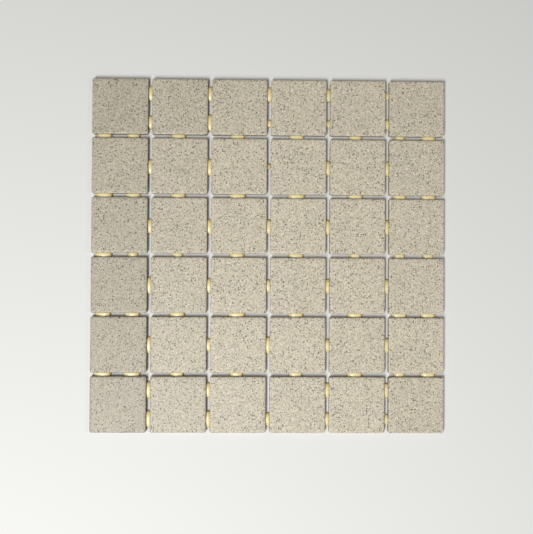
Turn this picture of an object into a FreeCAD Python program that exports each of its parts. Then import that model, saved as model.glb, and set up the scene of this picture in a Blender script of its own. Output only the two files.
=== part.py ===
import FreeCAD, Part
import os
import Sketcher
from FreeCAD import Vector
from itertools import zip_longest

# Mosaic sheet of square unglazed porcelain tiles, lying face up.
# The tiles are dust pressed and stand apart with open joints. Dots of clear amber glue,
# shot into the joints from behind, hold the sheet together until it is bedded and grouted.
# Origin at the middle of the sheet on the plane of the tile backs, +Z towards the faces,
# +X along a row of tiles and +Y up a column. Row 1 is the +Y row, column 1 the -X column.

# Driving dimensions in millimetres, and what each one measures
VALUES = (
    ("tile_side", 48.0, "side of a fired tile"),
    ("tile_thick", 6.0, "tile back to tile face"),
    ("joint_gap", 3.0, "open joint between two tiles"),
    ("corner_round", 1.2, "radius of the upright corners of a tile"),
    ("face_bevel", 0.5, "bevel pressed round the face"),
    ("tile_rows", 6, "rows of tiles"),
    ("tile_columns", 6, "columns of tiles"),
    ("back_rim", 4.0, "plain rim round the keyed back"),
    ("key_rib", 3.0, "rib between two keying grooves"),
    ("key_depth", 0.5, "depth of a keying groove"),
    ("key_grooves", 4, "keying grooves in a tile back"),
    ("dot_setback", 0.3, "back of a glue dot, in front of the tile backs"),
    ("dot_end_rise", 1.0, "upright end of a glue dot"),
    ("pair_spread", 24.8, "between the two dots at an end tile"),
    ("shift_across", -1.4, "glue nozzles off the tile middles along X"),
    ("shift_up", -0.6, "glue nozzles off the tile middles along Y"),
    ("long_length", 15.2, "long dot, along its joint"),
    ("long_rise", 3.5, "crown of a long dot above its back"),
    ("full_length", 13.4, "full dot"),
    ("full_rise", 3.2, "crown of a full dot"),
    ("middling_length", 11.8, "middling dot"),
    ("middling_rise", 3.0, "crown of a middling dot"),
    ("small_length", 9.4, "small dot"),
    ("small_rise", 2.6, "crown of a small dot"),
    ("thin_length", 6.8, "dot of a shot that nearly failed"),
    ("thin_rise", 2.0, "crown of a thin dot"),
)

# How each shot of glue came out, a letter for each dot and a dash where the nozzle missed:
# down the joint after each column of tiles, and to the right along the joint after each row
KINDS = {"L": "long", "F": "full", "M": "middling", "S": "small", "T": "thin"}
DOWN_COLUMN_JOINTS = ("FMFFLLLL", "FLLFFMFL", "FTTFML-M", "MTFFFMFM", "TSFFFFFS")
ALONG_ROW_JOINTS = ("FMFFFMSF", "LFFLLFMF", "LSSFFSSS", "FFFLFFFF", "LLMMMFSF")
USUAL_DOT = "F"

PITCH = "(Sizes.tile_side + Sizes.joint_gap)"

doc = FreeCAD.newDocument("MosaicSheet")


def make_sizes():
    """The spreadsheet of driving dimensions, one line each: name, value, meaning."""
    sheet = doc.addObject("Spreadsheet::Sheet", "Sizes")
    for line, (name, value, meaning) in enumerate(VALUES, start=1):
        sheet.set(f"A{line}", name)
        sheet.set(f"B{line}", str(value))
        sheet.set(f"C{line}", meaning)
        sheet.setAlias(f"B{line}", name)
    doc.recompute()
    return sheet


def from_middle(index, count):
    """Expression: the middle of tile number index of count, or of the joint at index + 0.5."""
    return f"({index} - ({count} + 1) / 2) * {PITCH}"


def origin_plane(body, role):
    """One of the body's own origin planes."""
    return next(plane for plane in body.Origin.OriginFeatures if plane.Role == role)


def new_sketch(body, name, role):
    """An empty sketch on one of the body's origin planes."""
    sketch = body.newObject("Sketcher::SketchObject", name)
    sketch.AttachmentSupport = (origin_plane(body, role), "")
    sketch.MapMode = "FlatFace"
    return sketch


def bind(sketch, bound):
    """Adds dimensions to a sketch, each with the expression that drives it."""
    for constraint, expression in bound:
        number = sketch.addConstraint(constraint)
        sketch.setExpression(f"Constraints[{number}]", expression)


def draw_rectangle(sketch, width, height, left):
    """Rectangle level about the X axis, its size and left side given as expressions."""
    corners = [Vector(0, -1, 0), Vector(1, -1, 0), Vector(1, 1, 0), Vector(0, 1, 0)]
    for side in range(4):
        sketch.addGeometry(Part.LineSegment(corners[side], corners[(side + 1) % 4]))
    for side in range(4):
        sketch.addConstraint(Sketcher.Constraint("Coincident", side, 2, (side + 1) % 4, 1))
        sketch.addConstraint(Sketcher.Constraint(("Horizontal", "Vertical")[side % 2], side))
    bottom, right, root = 0, 1, -1
    bound = (
        (Sketcher.Constraint("DistanceX", bottom, 1, bottom, 2, 1), width),
        (Sketcher.Constraint("DistanceY", right, 1, right, 2, 2), height),
        (Sketcher.Constraint("DistanceX", root, 1, bottom, 1, -1), left),
        (Sketcher.Constraint("DistanceY", bottom, 1, root, 1, 1), f"{height} / 2"),
    )
    bind(sketch, bound)


def press_block(body):
    """The plain pressed block of a tile."""
    outline = new_sketch(body, "Outline", "XY_Plane")
    draw_rectangle(outline, "Sizes.tile_side", "Sizes.tile_side", "-Sizes.tile_side / 2")
    block = body.newObject("PartDesign::Pad", "Block")
    block.Profile = outline
    block.setExpression("Length", "Sizes.tile_thick")
    doc.recompute()
    return block


def bevel_face(body, block):
    """Bevels the four edges of the face."""
    faces = block.Shape.Faces
    top = max(range(len(faces)), key=lambda number: faces[number].CenterOfMass.z)
    bevelled = body.newObject("PartDesign::Chamfer", "BevelledFace")
    bevelled.Base = (block, [f"Face{top + 1}"])
    bevelled.setExpression("Size", "Sizes.face_bevel")
    doc.recompute()
    return bevelled


def round_corners(body, bevelled):
    """Rounds the four upright edges, up into the bevel."""
    upright = [
        f"Edge{number}"
        for number, edge in enumerate(bevelled.Shape.Edges, start=1)
        if abs(edge.tangentAt(edge.FirstParameter).z) > 0.99
    ]
    rounded = body.newObject("PartDesign::Fillet", "RoundedCorners")
    rounded.Base = (bevelled, upright)
    rounded.setExpression("Radius", "Sizes.corner_round")
    doc.recompute()


def key_back(body):
    """Presses parallel keying grooves into the back, inside a plain rim."""
    keyed_width = "(Sizes.tile_side - 2 * Sizes.back_rim)"
    all_ribs = "(Sizes.key_grooves - 1) * Sizes.key_rib"
    groove_width = f"(({keyed_width} - {all_ribs}) / Sizes.key_grooves)"
    outline = new_sketch(body, "GrooveOutline", "XY_Plane")
    draw_rectangle(outline, groove_width, keyed_width, f"-{keyed_width} / 2")
    groove = body.newObject("PartDesign::Pocket", "Groove")
    groove.Profile = outline
    groove.Reversed = True
    groove.setExpression("Length", "Sizes.key_depth")
    doc.recompute()
    keyed = body.newObject("PartDesign::LinearPattern", "KeyedBack")
    keyed.Originals = [groove]
    keyed.Direction = (outline, ["H_Axis"])
    keyed.setExpression("Length", f"{keyed_width} - {groove_width}")
    keyed.setExpression("Occurrences", "Sizes.key_grooves")
    body.Tip = keyed
    doc.recompute()


def press_tile():
    """The first tile, made feature by feature."""
    body = doc.addObject("PartDesign::Body", "Tile")
    round_corners(body, bevel_face(body, press_block(body)))
    key_back(body)
    return body


def another_tile(first):
    """A tile from the same die: a body of its own with the first one's shape."""
    body = doc.addObject("PartDesign::Body", "Tile")
    pressed = body.newObject("PartDesign::FeatureBase", "Pressed")
    pressed.BaseFeature = first
    body.Tip = pressed
    return body


def lay_tiles(rows, columns):
    """Every tile at its place in the sheet."""
    tiles = []
    for row in range(1, rows + 1):
        for column in range(1, columns + 1):
            tile = another_tile(tiles[0]) if tiles else press_tile()
            tile.Label = f"tile_r{row}_c{column}"
            tile.setExpression("Placement.Base.x", from_middle(column, columns))
            tile.setExpression("Placement.Base.y", f"-{from_middle(row, rows)}")
            tiles.append(tile)
    return tiles


def draw_loaf(sketch, length, rise, ends):
    """Flat base about the origin, two upright ends and one arc that peaks at the rise."""
    low_left, low_right = Vector(-6, 0, 0), Vector(6, 0, 0)
    high_left, high_right = Vector(-6, 1, 0), Vector(6, 1, 0)
    sketch.addGeometry(Part.LineSegment(low_left, low_right))
    sketch.addGeometry(Part.LineSegment(low_right, high_right))
    sketch.addGeometry(Part.Arc(high_right, Vector(0, 3, 0), high_left))
    sketch.addGeometry(Part.LineSegment(high_left, low_left))
    base, right, crown, left, root = 0, 1, 2, 3, -1
    sketch.addConstraint(Sketcher.Constraint("Coincident", base, 2, right, 1))
    sketch.addConstraint(Sketcher.Constraint("Coincident", right, 2, crown, 1))
    sketch.addConstraint(Sketcher.Constraint("Coincident", crown, 2, left, 1))
    sketch.addConstraint(Sketcher.Constraint("Coincident", left, 2, base, 1))
    sketch.addConstraint(Sketcher.Constraint("Horizontal", base))
    sketch.addConstraint(Sketcher.Constraint("Vertical", right))
    sketch.addConstraint(Sketcher.Constraint("Vertical", left))
    sketch.addConstraint(Sketcher.Constraint("Symmetric", base, 1, base, 2, root, 1))
    sagitta = f"({rise} - {ends})"
    bound = (
        (Sketcher.Constraint("DistanceX", base, 1, base, 2, 12), length),
        (Sketcher.Constraint("DistanceY", right, 1, right, 2, 1), ends),
        (Sketcher.Constraint("DistanceY", left, 2, left, 1, 1), ends),
        (Sketcher.Constraint("Radius", crown, 10), f"({length} ^ 2 / 4 + {sagitta} ^ 2) / (2 * {sagitta})"),
    )
    bind(sketch, bound)


def shape_dot(kind):
    """One kind of dot on the plane of its back, its long way along X, as wide as the joint."""
    body = doc.addObject("PartDesign::Body", f"Dot_{kind}")
    profile = new_sketch(body, "Profile", "XZ_Plane")
    draw_loaf(profile, f"Sizes.{kind}_length", f"Sizes.{kind}_rise", "Sizes.dot_end_rise")
    dot = body.newObject("PartDesign::Pad", "Dot")
    dot.Profile = profile
    dot.SideType = "Symmetric"
    dot.setExpression("Length", "Sizes.joint_gap")
    doc.recompute()
    return body


def dot_places(letters, tiles, shift):
    """Kind and place of each dot along a joint: two at its end tiles, one at each tile between."""
    places = []
    for tile in range(1, tiles + 1):
        middle = f"{from_middle(tile, tiles)} + {shift}"
        if tile in (1, tiles):
            places += [f"{middle} - Sizes.pair_spread / 2", f"{middle} + Sizes.pair_spread / 2"]
        else:
            places.append(middle)
    letters = letters.ljust(len(places), USUAL_DOT)
    return [(KINDS[letter], place) for letter, place in zip(letters, places) if letter in KINDS]


def glue_joint(label, dots, letters, tiles, shift):
    """All dots of one joint, laid along X with their flat sides on its walls."""
    shots = []
    for kind, place in dot_places(letters, tiles, shift):
        shot = doc.addObject("App::Link", "Shot")
        shot.LinkedObject = dots[kind]
        shot.setExpression("Placement.Base.x", place)
        shots.append(shot)
    glue = doc.addObject("Part::Compound", "Glue")
    glue.Label = label
    glue.Links = shots
    glue.setExpression("Placement.Base.z", "Sizes.dot_setback")
    return glue


def glue_sheet(rows, columns):
    """The glue in the joint after each column, turned to run down, and after each row."""
    dots = {kind: shape_dot(kind) for kind in KINDS.values()}
    joints = []
    for column, letters in zip_longest(range(1, columns), DOWN_COLUMN_JOINTS[: columns - 1], fillvalue=""):
        glue = glue_joint(f"glue_dots_after_column_{column}", dots, letters, rows, "-Sizes.shift_up")
        glue.Placement.Rotation = FreeCAD.Rotation(Vector(0, 0, 1), -90)
        glue.setExpression("Placement.Base.x", from_middle(column + 0.5, columns))
        joints.append(glue)
    for row, letters in zip_longest(range(1, rows), ALONG_ROW_JOINTS[: rows - 1], fillvalue=""):
        glue = glue_joint(f"glue_dots_after_row_{row}", dots, letters, columns, "Sizes.shift_across")
        glue.setExpression("Placement.Base.y", f"-{from_middle(row + 0.5, rows)}")
        joints.append(glue)
    return joints


def check_built(pieces):
    """Stops before anything is written if an object failed or a piece isn't a sound solid."""
    failed = [item.Label for item in doc.Objects if {"Invalid", "Error"} & set(item.State)]
    unsound = [
        piece.Label
        for piece in pieces
        if piece.Shape.isNull() or not piece.Shape.isValid() or not piece.Shape.Solids
    ]
    if failed or unsound:
        raise RuntimeError(f"failed objects {failed}, unsound pieces {unsound}")


def write_pieces(pieces):
    """One STEP file for each piece, named by its label."""
    os.makedirs("parts", exist_ok=True)
    for piece in pieces:
        piece.Shape.exportStep(f"parts/{piece.Label}.step")


sizes = make_sizes()
pieces = lay_tiles(int(sizes.tile_rows), int(sizes.tile_columns))
pieces += glue_sheet(int(sizes.tile_rows), int(sizes.tile_columns))
doc.recompute()
check_built(pieces)
write_pieces(pieces)
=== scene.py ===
import bmesh
import bpy
import numpy as np
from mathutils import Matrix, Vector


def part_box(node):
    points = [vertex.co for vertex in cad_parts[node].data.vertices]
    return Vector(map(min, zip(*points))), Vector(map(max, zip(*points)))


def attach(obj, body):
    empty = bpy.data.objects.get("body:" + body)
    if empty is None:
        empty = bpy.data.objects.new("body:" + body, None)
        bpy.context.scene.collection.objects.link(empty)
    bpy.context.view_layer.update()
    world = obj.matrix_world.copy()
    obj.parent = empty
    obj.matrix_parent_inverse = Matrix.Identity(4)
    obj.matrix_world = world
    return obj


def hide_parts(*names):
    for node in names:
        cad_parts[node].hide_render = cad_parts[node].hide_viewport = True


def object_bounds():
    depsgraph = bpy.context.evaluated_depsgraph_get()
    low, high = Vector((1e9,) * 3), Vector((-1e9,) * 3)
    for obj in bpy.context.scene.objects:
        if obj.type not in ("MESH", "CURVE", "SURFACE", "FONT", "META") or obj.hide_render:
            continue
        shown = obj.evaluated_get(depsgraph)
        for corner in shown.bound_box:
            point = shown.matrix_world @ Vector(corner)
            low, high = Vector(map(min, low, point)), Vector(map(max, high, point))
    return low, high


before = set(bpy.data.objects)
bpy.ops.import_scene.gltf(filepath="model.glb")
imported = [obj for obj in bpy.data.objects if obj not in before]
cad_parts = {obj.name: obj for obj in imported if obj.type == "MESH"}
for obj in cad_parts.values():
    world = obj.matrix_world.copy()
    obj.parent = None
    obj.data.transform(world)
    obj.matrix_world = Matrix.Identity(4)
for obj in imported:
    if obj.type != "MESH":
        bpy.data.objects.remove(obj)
cad_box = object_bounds()


# The porcelain tiles
# Each tile is one piece of unglazed porcelain, dust pressed from a speckled mix of coloured
# clay granules and fired. Nothing holds it but the glue dots on its four sides.

MM = 0.001
ROWS = COLUMNS = 6
SHOULDER_IN = 1.0 * MM       # the face starts to fall this far inside the arris
SHOULDER_DOWN = 0.06 * MM    # and has fallen this far where the arris starts
ARRIS_IN = 1.15 * MM         # then it rolls off over this width
ARRIS_DOWN = 0.70 * MM       # and drops this far into the wall
ARRIS_BEND = 1.4             # 1 makes the arris a quarter ellipse, 2 a straight bevel
ARRIS_TURNS = (15, 30, 45, 60, 75, 90)      # where its rings lie, in degrees
WALL_RINGS = ((0.33, 0.66), (0.66, 0.33))   # rings on the wall: share of the draft, of the height
CORNER = 1.6 * MM            # radius of the upright corners
FOOT = 0.25 * MM             # worn edge round the back
FOOT_TURNS = (35, 70)        # where its rings lie, in degrees
DRAFT = 0.02 * MM            # the walls lean in by this much from the face to the back
CORNER_STEPS = 5             # grid lines from the core to the edge of a corner
LINE_STEP = 2.6 * MM         # between the grid lines over the face and the back
LINE_CLEAR = 0.9 * MM        # a grid line nearer than this to a groove's edge is left out
LAY_PLAY = 0.07 * MM         # how far a tile sits off its place in the sheet
LAY_TURN = 0.12              # and how far it is turned, in degrees
FACE_DISH = 0.05 * MM        # unevenness of the pressed face
FACE_WAVE = 30 * MM          # and the length of its waves
EDGE_WOBBLE = 0.04 * MM      # how far the rim wanders inwards
EDGE_WAVE = 9 * MM           # and the length of its waves
FACE_FOLLOW = 0.5            # the rim follows the uneven face down to this share of the height
TONE_SPREAD = 0.012          # how far tiles of one batch differ in brightness
COLUMN_TONES_AND_PAINTED_LIGHT = (-0.15, -0.05, 0.01, 0.035, 0.05, 0.025)   # first column's tiles darker; the rest, and a little of the first, is painted light and shade against the lamp's fall across the sheet
LOWER_FIRST_SHADE = -0.07    # and its lower three tiles darker still
LAST_ROW_PAINTED_SHADE = -0.045      # painted shade: the last row a little darker
WALL_PAINTED_SHADE = -0.22           # painted shade: the walls darker than the face
WALL_PAINTED_SHADE_FROM = 0.9        # share of the arris's drop at which half of that painted shade is reached
JOINT_PAINTED_SHADE = -0.52          # painted shade: darker still in the joints, instead of the walls' shade
GROOVE_PAINTED_SHADE = -0.15         # painted shade in the grooves of the back, deeper where they are deeper
BACK_RIM = 4.0 * MM          # flat rim round the back
KEY_GROOVES = 4              # grooves in the back that key it to the adhesive
KEY_RIB = 3.0 * MM           # between two grooves
KEY_DEPTH = 0.5 * MM
KEY_SLOPE = 0.35 * MM        # width of a groove's sloped side


def smooth_step(value):
    """0 below 0, 1 above 1, and three value squared less two value cubed between."""
    value = np.clip(value, 0, 1)
    return value * value * (3 - 2 * value)


def soft_noise(x, y, size, rng, waves=7):
    """Mean of plane waves, each the sine of a seeded phase plus the way along a seeded direction
    in lengths of about size. It lies within -1 to 1."""
    total = np.zeros(np.broadcast(x, y).shape)
    for _ in range(waves):
        angle, phase = rng.uniform(0, 2 * np.pi, 2)
        pulse = 2 * np.pi / (size * rng.uniform(0.7, 1.5))
        total += np.sin(pulse * (x * np.cos(angle) + y * np.sin(angle)) + phase)
    return total / waves


def groove_edges(half):
    """Low and high side of each keying groove: the back less its two rims and the ribs, shared
    evenly by the grooves, and a rib apart."""
    width = (2 * (half - BACK_RIM) - (KEY_GROOVES - 1) * KEY_RIB) / KEY_GROOVES
    low = -half + BACK_RIM + np.arange(KEY_GROOVES) * (width + KEY_RIB)
    return low, low + width


def grid_lines(half, edges):
    """Where the grid lines stand along one axis: core place and signed share of the corner.
    They are evenly spaced over the core, with one more at each shoulder and a pair at each groove
    edge, and fan out in the corners."""
    core = half - CORNER
    places = np.linspace(-core, core, int(2 * core / LINE_STEP) + 1)
    places = places[np.min(abs(places[:, None] - edges[None, :]), axis=1) > LINE_CLEAR]
    beside = (edges[:, None] + np.array([-0.5, 0.5]) * KEY_SLOPE).ravel()
    shoulder = core - SHOULDER_IN
    places = places[abs(places) < shoulder]
    places = np.sort(np.concatenate([[-core, -shoulder], places, beside, [shoulder, core]]))
    share = np.arange(1, CORNER_STEPS + 1) / CORNER_STEPS
    line = np.concatenate([np.full(CORNER_STEPS, -core), places, np.full(CORNER_STEPS, core)])
    fan = np.concatenate([-share[::-1], np.zeros(len(places)), share])
    return line, fan


def corner_fan(x_share, y_share):
    """Square to disc: the ring is the larger share, the angle an eighth turn times their ratio."""
    ax, ay = abs(x_share), abs(y_share)
    ring = np.maximum(ax, ay)
    ratio = np.minimum(ax, ay) / np.maximum(ring, 1e-9)
    angle = np.where(ax >= ay, ratio * np.pi / 4, np.pi / 2 - ratio * np.pi / 4)
    return ring * np.cos(angle) * np.sign(x_share), ring * np.sin(angle) * np.sign(y_share)


def rim_profile(top):
    """Inset and height of each ring from the face down to the back. On the arris they are one less
    a power of the sine and of the cosine, times its width and its drop. The wall leans in by the
    draft, and the foot is a quarter circle."""
    turn = np.radians(ARRIS_TURNS)
    inward, down = 1 - np.sin(turn) ** ARRIS_BEND, 1 - np.cos(turn) ** ARRIS_BEND
    arris = np.stack([ARRIS_IN * inward, top - ARRIS_DOWN * down], axis=1)
    wall = np.array([*(np.array(ring) * (DRAFT, top) for ring in WALL_RINGS), (DRAFT, FOOT)])
    turn = np.radians(FOOT_TURNS)
    foot = np.stack([DRAFT + FOOT * (1 - np.cos(turn)), FOOT * (1 - np.sin(turn))], axis=1)
    return np.concatenate([arris, wall, foot])


def face_height(x, y, half_x, half_y, top, rng):
    """Height of the face: the top, less a dip by soft noise, less the shoulder's drop times the
    square of one less the share of the shoulder that is left before the arris."""
    height = top - FACE_DISH * (0.5 + 0.5 * soft_noise(x, y, FACE_WAVE, rng))
    to_arris = np.minimum(half_x - abs(x), half_y - abs(y)) - ARRIS_IN
    return height - SHOULDER_DOWN * (1 - np.clip(to_arris / SHOULDER_IN, 0, 1)) ** 2


def groove_height(x, y, grooves, end):
    """Height of the back: for each groove, its depth times two smooth steps across and one along."""
    across = [smooth_step((x - low) / KEY_SLOPE + 0.5) * smooth_step((high - x) / KEY_SLOPE + 0.5)
              for low, high in zip(*grooves)]
    along = smooth_step((end - abs(y)) / KEY_SLOPE + 0.5)
    return KEY_DEPTH * np.sum(across, axis=0) * along


def rim_rings(core, out, edge, profile, top, rng):
    """Points of the rings round the rim: the core line, plus the way out times the corner's radius
    less the ring's inset. They wander inwards by soft noise, and follow the height of the face's
    edge less and less on the way down."""
    wobble = EDGE_WOBBLE * soft_noise(core[:, 0], core[:, 1], EDGE_WAVE, rng)
    inset = profile[:, 0][:, None] + abs(wobble)[None, :]
    place = core[None] + out[None] * (CORNER - inset)[..., None]
    follow = np.clip((profile[:, 1] - FACE_FOLLOW * top) / ((1 - FACE_FOLLOW) * top), 0, 1)
    height = profile[:, 1][:, None] + follow[:, None] * (edge - top)[None, :]
    return np.concatenate([place, height[..., None]], axis=-1).reshape(-1, 3)


def painted_rim_shade(rings, profile, top):
    """Painted shade of the rings: a smooth step down the arris from none to the wall's, which goes over
    to the joint's, darker, by another smooth step away from the outside of the sheet."""
    wall = smooth_step((top - WALL_PAINTED_SHADE_FROM * ARRIS_DOWN - profile[:, 1]) / ARRIS_DOWN + 0.5)
    from_outside = cad_box[1][0] - abs(rings[:, :2]).max(axis=1)
    in_joint = smooth_step(from_outside / CORNER - 0.5)
    shade = WALL_PAINTED_SHADE + (JOINT_PAINTED_SHADE - WALL_PAINTED_SHADE) * in_joint
    return np.repeat(wall, len(rings) // len(profile)) * shade


def shell_faces(ids, loop, rings):
    """Faces of a closed shell whose points are the face grid, the rings and the back grid: the
    squares of each grid, the back's the other way round, and a band from each loop to the next."""
    first_back = ids.size + rings * len(loop)
    squares = np.stack([ids[:-1, :-1], ids[1:, :-1], ids[1:, 1:], ids[:-1, 1:]], axis=-1).reshape(-1, 4)
    ring_ids = np.arange(ids.size, first_back).reshape(rings, len(loop))
    loops = np.concatenate([loop[None], ring_ids, loop[None] + first_back])
    beyond = np.roll(loops, -1, axis=1)
    bands = np.stack([loops[:-1], loops[1:], beyond[1:], beyond[:-1]], axis=-1).reshape(-1, 4)
    return np.concatenate([squares, bands, squares[:, ::-1] + first_back])


def lay(points, low, high, rng):
    """Puts a tile in its box: turned and shifted a little about the middle, and held within it."""
    turn = np.radians(rng.uniform(-LAY_TURN, LAY_TURN))
    shift = rng.uniform(-0.5, 0.5, 2) * LAY_PLAY
    spin = np.array([[np.cos(turn), -np.sin(turn)], [np.sin(turn), np.cos(turn)]])
    points[:, :2] = points[:, :2] @ spin.T + (low + high)[:2] / 2 + shift
    points[:, 2] += low[2]
    return np.clip(points, low, high)


def add_object(name, data):
    """Links a new object at the origin into the scene."""
    thing = bpy.data.objects.new(name, data)
    bpy.context.collection.objects.link(thing)
    return thing


def pressed_tile(name, low, high, seed, shade):
    """One closed shell: a face grid and a back grid over the rounded square, joined by the rings
    of the rim. A grid's points are those of the core plus the way out times a corner's radius.
    The tone of a point is the painted shade of its part, on the walls, in the joints and in the
    grooves, plus the tile's own tone, part of which is painted light and shade across the sheet."""
    rng = np.random.default_rng(seed)
    half_x, half_y = (high - low)[:2] / 2 - LAY_PLAY
    top = high[2] - low[2]
    grooves = groove_edges(half_x)
    end = half_y - BACK_RIM
    line_x, fan_x = grid_lines(half_x, np.concatenate(grooves))
    line_y, fan_y = grid_lines(half_y, np.array([-end, end]))
    core = np.stack(np.meshgrid(line_x, line_y, indexing="ij"), axis=-1)
    out = np.stack(corner_fan(*np.meshgrid(fan_x, fan_y, indexing="ij")), axis=-1)
    ids = np.arange(core[..., 0].size).reshape(core.shape[:2])
    loop = np.concatenate([ids[:-1, 0], ids[-1, :-1], ids[:0:-1, -1], ids[0, :0:-1]])

    face = (core + out * (CORNER - ARRIS_IN)).reshape(-1, 2)
    face_z = face_height(face[:, 0], face[:, 1], half_x, half_y, top, rng)
    back = (core + out * (CORNER - DRAFT - FOOT)).reshape(-1, 2)
    back_z = groove_height(back[:, 0], back[:, 1], grooves, end)
    profile = rim_profile(top)
    core, out = core.reshape(-1, 2)[loop], out.reshape(-1, 2)[loop]
    rings = rim_rings(core, out, face_z[loop], profile, top, rng)
    points = np.concatenate([np.column_stack([face, face_z]), rings, np.column_stack([back, back_z])])
    points = lay(points, low, high, rng)

    mesh = bpy.data.meshes.new(name)
    mesh.from_pydata(points, [], shell_faces(ids, loop, len(profile)).tolist())
    mesh.shade_smooth()
    # painted shade on the walls and in the joints
    rim = painted_rim_shade(points[len(face):-len(back)], profile, top)
    tones_with_painted_shade = np.concatenate([np.zeros(len(face)), rim, GROOVE_PAINTED_SHADE * back_z / KEY_DEPTH])
    tone_and_painted_shade = mesh.attributes.new("tone_and_painted_shade", "FLOAT", "POINT")
    tone_and_painted_shade.data.foreach_set("value", tones_with_painted_shade + shade + TONE_SPREAD * rng.normal())
    mesh.update()
    return add_object(name, mesh)


class NodeSheet:
    """A material's node tree, with one short call for each kind of node it uses."""

    def __init__(self, name):
        self.material = bpy.data.materials.new(name)
        self.material.use_nodes = True
        self.tree = self.material.node_tree
        self.shader = self.tree.nodes["Principled BSDF"]

    def node(self, kind, links=(), **settings):
        """Adds a node, sets its properties, and links or sets its inputs by name or number."""
        node = self.tree.nodes.new(kind)
        for key, value in settings.items():
            setattr(node, key, value)
        for socket, value in dict(links).items():
            self.feed(node.inputs[socket], value)
        return node

    def feed(self, socket, value):
        """Links an output to a socket, or writes a plain value into it."""
        if isinstance(value, bpy.types.NodeSocket):
            self.tree.links.new(value, socket)
        else:
            socket.default_value = value

    def math(self, operation, *values, clamp=False):
        """Result of a Math node."""
        node = self.node("ShaderNodeMath", enumerate(values), operation=operation, use_clamp=clamp)
        return node.outputs[0]

    def shift(self, operation, place, amount):
        """Result of a Vector Math node that adds a vector to a place, or scales it by a number."""
        socket = "Scale" if operation == "SCALE" else 1
        node = self.node("ShaderNodeVectorMath", {0: place, socket: amount}, operation=operation)
        return node.outputs[0]

    def noise(self, place, size, detail):
        """Noise texture with waves of about size."""
        links = {"Vector": place, "Scale": 1 / size, "Detail": detail}
        return self.node("ShaderNodeTexNoise", links)

    def cells(self, place, size):
        """Voronoi cells of about size, each with a random colour."""
        return self.node("ShaderNodeTexVoronoi", {"Vector": place, "Scale": 1 / size}, feature="F1")

    def blend(self, share, below, above, way="MIX"):
        """Colour above mixed over the one below by a share, or multiplied into it."""
        mix = self.node("ShaderNodeMix", data_type="RGBA", blend_type=way)
        self.feed(mix.inputs["Factor"], share)
        self.feed(mix.inputs[6], below)
        self.feed(mix.inputs[7], above)
        return mix.outputs[2]


CLAY = (0.664, 0.596, 0.456)
GRANULE = 0.58 * MM          # the body is pressed from granules about this size
# a granule's random number from 0 to 1, and its shade of the clay there
GRANULE_SHADES = ((0.0, 0.38), (0.14, 0.84), (0.40, 1.025), (0.80, 1.07), (1.0, 1.44))
RAGGED_WAVE = 0.7 * MM       # granules and grains are pressed out of round by noise of this length
RAGGED_PUSH = 0.25 * MM      # and by this much
GRAINS = (
    # cell mm, radius mm, share of cells with a grain, colour, strength
    (0.95, 0.38, 0.45, (0.11, 0.103, 0.085, 1), 0.93),
    (1.60, 0.66, 0.28, (0.035, 0.033, 0.029, 1), 0.92),
)
GRAIN_LEAST = 0.7            # a grain has this share of its radius at least
GRAIN_MORE = 0.4             # and up to this much more
GRAIN_EDGE = 8.0             # how sharply a grain ends
CLOUD_WAVE = 14 * MM         # soft clouds of lighter and darker clay
CLOUD_RANGE = 0.10
TOOTH_WAVE = 0.5 * MM        # the fired surface has a fine tooth
TOOTH_DEPTH = 0.03 * MM
TOOTH_STRENGTH = 0.6
TOOTH_ROUGH = (0.36, 0.20)   # roughness in its dips, and how much more on its tops
FACE_SHINE = 0.45            # a little under the usual half, as on any unglazed tile


def grain_mask(sheet, place, cell, radius, share):
    """Round grains strewn in the body: a cell's own radius less the way from its middle, times the
    sharpness and held within 0 to 1, in a share of the cells."""
    cells = sheet.cells(place, cell * MM)
    chance = sheet.node("ShaderNodeSeparateColor", {"Color": cells.outputs["Color"]})
    more, least = GRAIN_MORE * radius / cell, GRAIN_LEAST * radius / cell
    size = sheet.math("MULTIPLY_ADD", chance.outputs["Green"], more, least)
    depth = sheet.math("SUBTRACT", size, cells.outputs["Distance"])
    inside = sheet.math("MULTIPLY", depth, GRAIN_EDGE, clamp=True)
    present = sheet.math("LESS_THAN", chance.outputs["Red"], share)
    return sheet.math("MULTIPLY", inside, present)


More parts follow.
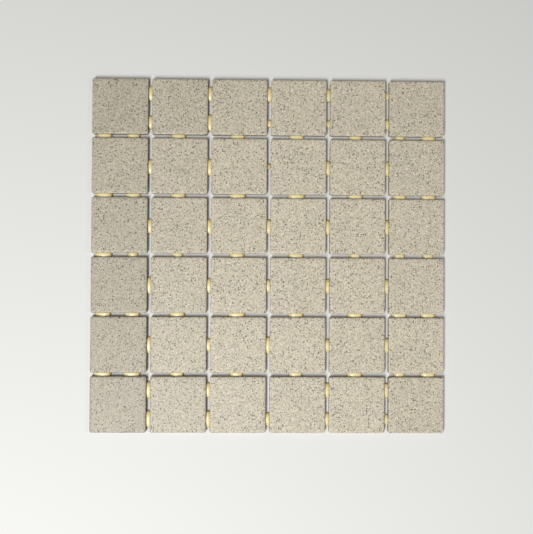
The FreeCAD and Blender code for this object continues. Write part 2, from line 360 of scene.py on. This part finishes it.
def porcelain():
    """Through-coloured clay body: pressed granules of slightly different shades, soft clouds, two
    sizes of dark grain and a faint tooth on the surface. The colour is the clay's, times the
    granule's shade, times the sum of the tile's tone and the cloud, with the grains laid over.
    The tile's tone carries painted shade and painted light."""
    sheet = NodeSheet("unglazed_porcelain")
    coordinates = sheet.node("ShaderNodeTexCoord").outputs["Object"]
    ragged = sheet.noise(coordinates, RAGGED_WAVE, 2.0).outputs["Color"]
    push = sheet.shift("SCALE", sheet.shift("ADD", ragged, (-0.5,) * 3), RAGGED_PUSH)
    place = sheet.shift("ADD", coordinates, push)

    granule = sheet.cells(place, GRANULE)
    chance = sheet.node("ShaderNodeSeparateColor", {"Color": granule.outputs["Color"]}).outputs["Red"]
    ramp = sheet.node("ShaderNodeValToRGB", {"Fac": chance})
    stops = ramp.color_ramp.elements
    for number, (at, shade) in enumerate(GRANULE_SHADES):
        stop = stops[number] if number < 2 else stops.new(at)
        stop.position = at
        stop.color = (*(shade * part for part in CLAY), 1)

    cloud = sheet.noise(coordinates, CLOUD_WAVE, 3.0).outputs["Fac"]
    # the tile's tone, with its painted shade on walls, joints and grooves and painted light across the
    # sheet
    tone_and_painted_shade = sheet.node("ShaderNodeAttribute", attribute_name="tone_and_painted_shade").outputs["Fac"]
    light = sheet.math("MULTIPLY_ADD", cloud, CLOUD_RANGE, 1 - CLOUD_RANGE / 2)
    light = sheet.math("ADD", tone_and_painted_shade, light)
    light = sheet.node("ShaderNodeCombineColor", dict.fromkeys(range(3), light)).outputs[0]
    colour = sheet.blend(1.0, ramp.outputs["Color"], light, "MULTIPLY")
    for cell, radius, share, dark, strength in GRAINS:
        grain = grain_mask(sheet, place, cell, radius, share)
        colour = sheet.blend(sheet.math("MULTIPLY", grain, strength), colour, dark)
    sheet.feed(sheet.shader.inputs["Base Color"], colour)

    tooth = sheet.noise(coordinates, TOOTH_WAVE, 4.0).outputs["Fac"]
    smooth, more = TOOTH_ROUGH
    sheet.feed(sheet.shader.inputs["Roughness"], sheet.math("MULTIPLY_ADD", tooth, more, smooth))
    links = {"Height": tooth, "Distance": TOOTH_DEPTH, "Strength": TOOTH_STRENGTH}
    bump = sheet.node("ShaderNodeBump", links)
    sheet.feed(sheet.shader.inputs["Normal"], bump.outputs[0])
    sheet.shader.inputs["Specular IOR Level"].default_value = FACE_SHINE
    return sheet.material


porcelain_body = porcelain()
for row in range(1, ROWS + 1):
    for column in range(1, COLUMNS + 1):
        node = f"tile_r{row}_c{column}"
        low, high = (np.array(corner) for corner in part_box(node))
        # painted light and shade by column and in the last row, over the darker tiles of the first
        # column
        shade = COLUMN_TONES_AND_PAINTED_LIGHT[column - 1] + LAST_ROW_PAINTED_SHADE * (row == ROWS)
        shade += LOWER_FIRST_SHADE * (column == 1 and row > ROWS / 2)
        tile = pressed_tile(f"porcelain_{node}", low, high, 100 * row + column, shade)
        tile.data.materials.append(porcelain_body)
        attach(tile, "root")
        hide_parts(node)


# The glue dots
# Each dot is a shot of clear amber glue, squeezed between two tile walls as it set. The nozzles
# came from behind, so the crown that shows in the joint is the dot's free, glossy front.

DOT_STATIONS = 30            # sections along a dot
DOT_ACROSS = 13              # points across each, on the front and on the back
DOT_APART = 3 * MM           # a longer gap in the joint's CAD mesh parts two dots
BLUNT = 2.6                  # fullness of the end that the nozzle left last, to +X or +Y
TAPERED = 2.1                # and of the other end, where 2 is an ellipse
DOT_BITE = 0.30 * MM         # how far the glue reaches into the tiles' leaning, rough walls
DOT_CROWN = 2.6              # half widths at which the crown would reach the dot's back
RIPPLE = 0.03                # unevenness of the crown, as a share of its height
RIPPLE_WAVE = 1.1            # length of its waves, in half lengths of the dot
RIPPLE_ACROSS = 0.4          # the waves are longer across the dot by one over this
PAINTED_SHADE_ENDS = ((0.05, 0.34), (0.14, 0.14))   # share painted brown as shade at the low and the high end: dots along X, dots along Y
PAINTED_SHADE_WALLS = 0.12            # and painted brown as shade beside the walls
PAINTED_DEEPENING_FROM = -0.6             # painted shade: the honey deepens from here along the dot, from -1 to 1, towards the end away from the lamp
PAINTED_DEEPENING_OVER = 1.4              # over this much of it
DOT_MERGE = 0.001 * MM       # points nearer than this are one point
STARVED = ("glue_dots_after_column_3", 4)   # the dot, from -Y, that clings to one tile
STARVED_SMEAR = 2.9 * MM     # how far it is smeared along that tile, towards +Y
STARVED_FILM = 0.28          # width of the smear, as a share of the joint
STARVED_TOUCH = -0.08        # where along the dot it reaches the other tile, from -1 to 1
STARVED_REACH = (0.60, 0.52)   # how far from there it comes back to the film: to +Y, to -Y
STARVED_FREE_OF_PAINTED_SHADE = (0.1, 0.6)   # share of honey over the painted brown shade in its film, and how much more at the touch
STARVED_PAINTED_DEEPENING = 0.9           # painted shade: its honey is this deep at least


def dots_in(node, axis):
    """Start, end and crown of each dot of a glue node: its CAD points in order along the axis,
    parted at the long gaps."""
    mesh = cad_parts[node].data
    points = np.empty(len(mesh.vertices) * 3)
    mesh.vertices.foreach_get("co", points)
    points = points.reshape(-1, 3)
    points = points[np.argsort(points[:, axis])]
    cuts = np.nonzero(np.diff(points[:, axis]) > DOT_APART)[0] + 1
    return [(dot[0, axis], dot[-1, axis], dot[:, 2].max()) for dot in np.split(points, cuts)]


def glue_dot(start, end, crown, back, half_width, rng, painted_shade_ends, starved):
    """A squeezed ellipsoid. Its swell is the root of one less the way along to the power of the
    fullness. Its height is the crown's, times the swell, times the root of one less the square of
    the way across as a share of the swell, and ripples a little. It is as wide as the joint until
    its own rounding closes it at the ends. A starved dot is a film along its low side, and nears
    the other at one place by one less the square of the way from there as a share of its reach."""
    if starved:
        end = end + STARVED_SMEAR
    along = np.sin(np.linspace(-0.5, 0.5, DOT_STATIONS) * np.pi)
    fullness = TAPERED + (BLUNT - TAPERED) * smooth_step(along + 0.5)
    swell = np.clip(1 - abs(along) ** fullness, 0, 1) ** 0.5
    width = half_width * np.minimum(1, DOT_CROWN * swell)
    across = np.linspace(-1, 1, DOT_ACROSS)
    u, v = np.meshgrid(along, across, indexing="ij")
    side = v * width[:, None]
    crown_half = np.maximum(half_width * DOT_CROWN * swell[:, None], 1e-9)
    share = np.clip(1 - (side / crown_half) ** 2, 0, 1)
    ripple = 1 + RIPPLE * soft_noise(u, v * RIPPLE_ACROSS, RIPPLE_WAVE, rng, waves=5)
    height = (crown - back) * swell[:, None] * share ** 0.5 * ripple
    # painted shade: brown at the ends, longest at the end away from the lamp, and beside the walls
    free_of_painted_shade = smooth_step((1 + u) / painted_shade_ends[0]) * smooth_step((1 - u) / painted_shade_ends[1])
    free_of_painted_shade *= smooth_step((1 - abs(v)) / PAINTED_SHADE_WALLS + 0.5)
    # painted shade: the honey deepens towards the end away from the lamp
    painted_deepening = smooth_step((u - PAINTED_DEEPENING_FROM) / PAINTED_DEEPENING_OVER)
    if starved:
        from_touch = along[:, None] - STARVED_TOUCH
        reach = np.clip(1 - (from_touch / np.where(from_touch > 0, *STARVED_REACH)) ** 2, 0, 1)
        side = (side + half_width) * (STARVED_FILM + (1 - STARVED_FILM) * reach) - half_width
        free_of_painted_shade *= STARVED_FREE_OF_PAINTED_SHADE[0] + STARVED_FREE_OF_PAINTED_SHADE[1] * reach
        painted_deepening = np.maximum(painted_deepening, STARVED_PAINTED_DEEPENING)
    x = (start + end) / 2 + u * (end - start) / 2
    front = np.stack([x, side, back + height, free_of_painted_shade, painted_deepening], axis=-1)
    flat = np.stack([x, side, np.full_like(x, back), free_of_painted_shade, painted_deepening], axis=-1)[:, ::-1]
    return np.concatenate([front, flat], axis=1)


def close_shell(mesh):
    """Merges points that fall together, where a dot's sections shrink to an edge or a point."""
    shell = bmesh.new()
    shell.from_mesh(mesh)
    bmesh.ops.remove_doubles(shell, verts=shell.verts, dist=DOT_MERGE)
    shell.to_mesh(mesh)
    shell.free()


def glue_line(name, node):
    """All the dots of one joint in one mesh: each a tube of closed sections along the joint, whose
    first and last sections shrink to a point. Dots along Y are dots along X with X and Y swapped,
    which turns their faces round, so these are turned back."""
    low, high = (np.array(corner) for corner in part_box(node))
    axis = 0 if high[0] - low[0] > high[1] - low[1] else 1
    middle, half_width = (low + high)[1 - axis] / 2, (high - low)[1 - axis] / 2 + DOT_BITE
    rng = np.random.default_rng(sum(map(ord, node)))
    points, faces = [], []
    around = 2 * DOT_ACROSS
    for number, (start, end, crown) in enumerate(dots_in(node, axis)):
        ids = np.arange(DOT_STATIONS * around).reshape(DOT_STATIONS, around) + sum(map(len, points))
        beside = np.roll(ids, -1, axis=1)
        faces.append(np.stack([ids[:-1], ids[1:], beside[1:], beside[:-1]], axis=-1).reshape(-1, 4))
        starved = (node, number) == STARVED
        dot = glue_dot(start, end, crown, low[2], half_width, rng, PAINTED_SHADE_ENDS[axis], starved)
        points.append(dot.reshape(-1, 5))
    points, faces = np.concatenate(points), np.concatenate(faces)
    points[:, 1] += middle
    if axis == 1:
        points[:, :2] = points[:, [1, 0]]
        faces = faces[:, ::-1]
    mesh = bpy.data.meshes.new(name)
    mesh.from_pydata(points[:, :3], [], faces.tolist())
    for column, attribute in ((3, "free_of_painted_shade"), (4, "painted_deepening")):
        shares = mesh.attributes.new(attribute, "FLOAT", "POINT")
        shares.data.foreach_set("value", points[:, column].copy())
    close_shell(mesh)
    mesh.shade_smooth()
    return add_object(name, mesh)


PALE_HONEY = (1.00, 0.87, 0.455, 1)
# painted shade: the honey deepens to this towards the end away from the lamp
PAINTED_SHADE_HONEY = (1.00, 0.80, 0.38, 1)
# painted shade: brown at the dot's ends and beside the walls
PAINTED_SHADE_BROWN = (0.46, 0.26, 0.07, 1)
HONEY_CLOUD_WAVE = 5 * MM
HONEY_CLOUD = 0.3            # how far clouds carry the honey from pale to deep


def amber_glue():
    """Clear honey-coloured glue: light soaks in and comes out golden, under a glossy skin. Painted
    shade deepens the honey towards the end away from the lamp and turns it brown at the dot's ends and
    beside the walls."""
    sheet = NodeSheet("amber_glue")
    coordinates = sheet.node("ShaderNodeTexCoord").outputs["Object"]
    cloud = sheet.noise(coordinates, HONEY_CLOUD_WAVE, 2.0).outputs["Fac"]
    painted_deepening = sheet.node("ShaderNodeAttribute", attribute_name="painted_deepening").outputs["Fac"]
    painted_deepening = sheet.math("SUBTRACT", painted_deepening, HONEY_CLOUD / 2)
    painted_deepening = sheet.math("MULTIPLY_ADD", cloud, HONEY_CLOUD, painted_deepening)
    honey = sheet.blend(painted_deepening, PALE_HONEY, PAINTED_SHADE_HONEY)
    free_of_painted_shade = sheet.node("ShaderNodeAttribute", attribute_name="free_of_painted_shade").outputs["Fac"]
    sheet.feed(sheet.shader.inputs["Base Color"], sheet.blend(free_of_painted_shade, PAINTED_SHADE_BROWN, honey))
    skin = {
        "Subsurface Weight": 0.08,
        "Subsurface Radius": (1.0, 0.6, 0.25),
        "Subsurface Scale": 1.0 * MM,
        "Roughness": 0.36,
        "IOR": 1.52,
        "Specular IOR Level": 1.0,
    }
    for socket, value in skin.items():
        sheet.shader.inputs[socket].default_value = value
    return sheet.material


glue = amber_glue()
glue_nodes = [f"glue_dots_after_column_{number}" for number in range(1, COLUMNS)]
glue_nodes += [f"glue_dots_after_row_{number}" for number in range(1, ROWS)]
for node in glue_nodes:
    line = glue_line(f"amber_{node}", node)
    line.data.materials.append(glue)
    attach(line, "root")
    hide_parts(node)


# The studio
# A plain pale floor, a long soft lamp over the lower left of the sheet, a weak one to its right
# and an even fill. The camera looks almost straight down.

FLOOR_COLOUR = (0.865, 0.86, 0.83, 1)
FLOOR_FINISH = {"Roughness": 0.6, "Specular IOR Level": 0.2}
FLOOR_REACH = 2.5            # metres from the middle to each side
FLOOR_DROP = 0.02 * MM       # keeps the floor from sharing a plane with the tile backs
LAMPS = {
    # place in metres, turn in degrees, width and depth, power in watts
    "window": ((-0.50, -0.78, 1.55), 70, (1.35, 0.42), 28.9),
    "side": ((0.95, -0.10, 1.2), 0, (0.36, 0.36), 2.2),
}
FILL = 0.145
FILL_COLOUR = (0.96, 0.98, 1.0, 1)
CAMERA_PLACE = (-0.01742, -0.02044, 0.70287)
CAMERA_TURN = (0.8825, -1.3098, 0.3355)     # degrees
CAMERA_LENS = 54.98          # mm

floor_mesh = bpy.data.meshes.new("floor")
signs = ((-1, -1), (1, -1), (1, 1), (-1, 1))
corners = [(x * FLOOR_REACH, y * FLOOR_REACH, -FLOOR_DROP) for x, y in signs]
floor_mesh.from_pydata(corners, [], [(0, 1, 2, 3)])
floor = add_object("floor", floor_mesh)
paper = NodeSheet("pale_floor")
paper.shader.inputs["Base Color"].default_value = FLOOR_COLOUR
for socket, value in FLOOR_FINISH.items():
    paper.shader.inputs[socket].default_value = value
floor_mesh.materials.append(paper.material)

for name, (place, turn, (width, depth), power) in LAMPS.items():
    lamp_data = bpy.data.lights.new(name, "AREA")
    lamp_data.shape = "ELLIPSE"
    lamp_data.size = width
    lamp_data.size_y = depth
    lamp_data.energy = power
    lamp = add_object(name, lamp_data)
    lamp.location = place
    lamp.rotation_euler = (0, 0, np.radians(turn))

world = bpy.data.worlds.new("fill")
world.use_nodes = True
world.node_tree.nodes["Background"].inputs["Color"].default_value = FILL_COLOUR
world.node_tree.nodes["Background"].inputs["Strength"].default_value = FILL
bpy.context.scene.world = world

camera_data = bpy.data.cameras.new("camera")
camera_data.sensor_fit = "HORIZONTAL"
camera_data.sensor_width = 36
camera_data.lens = CAMERA_LENS
camera_data.clip_start = 0.01
camera = add_object("camera", camera_data)
camera.location = CAMERA_PLACE
camera.rotation_euler = np.radians(CAMERA_TURN)
bpy.context.scene.camera = camera
bpy.context.scene.view_settings.view_transform = "Standard"
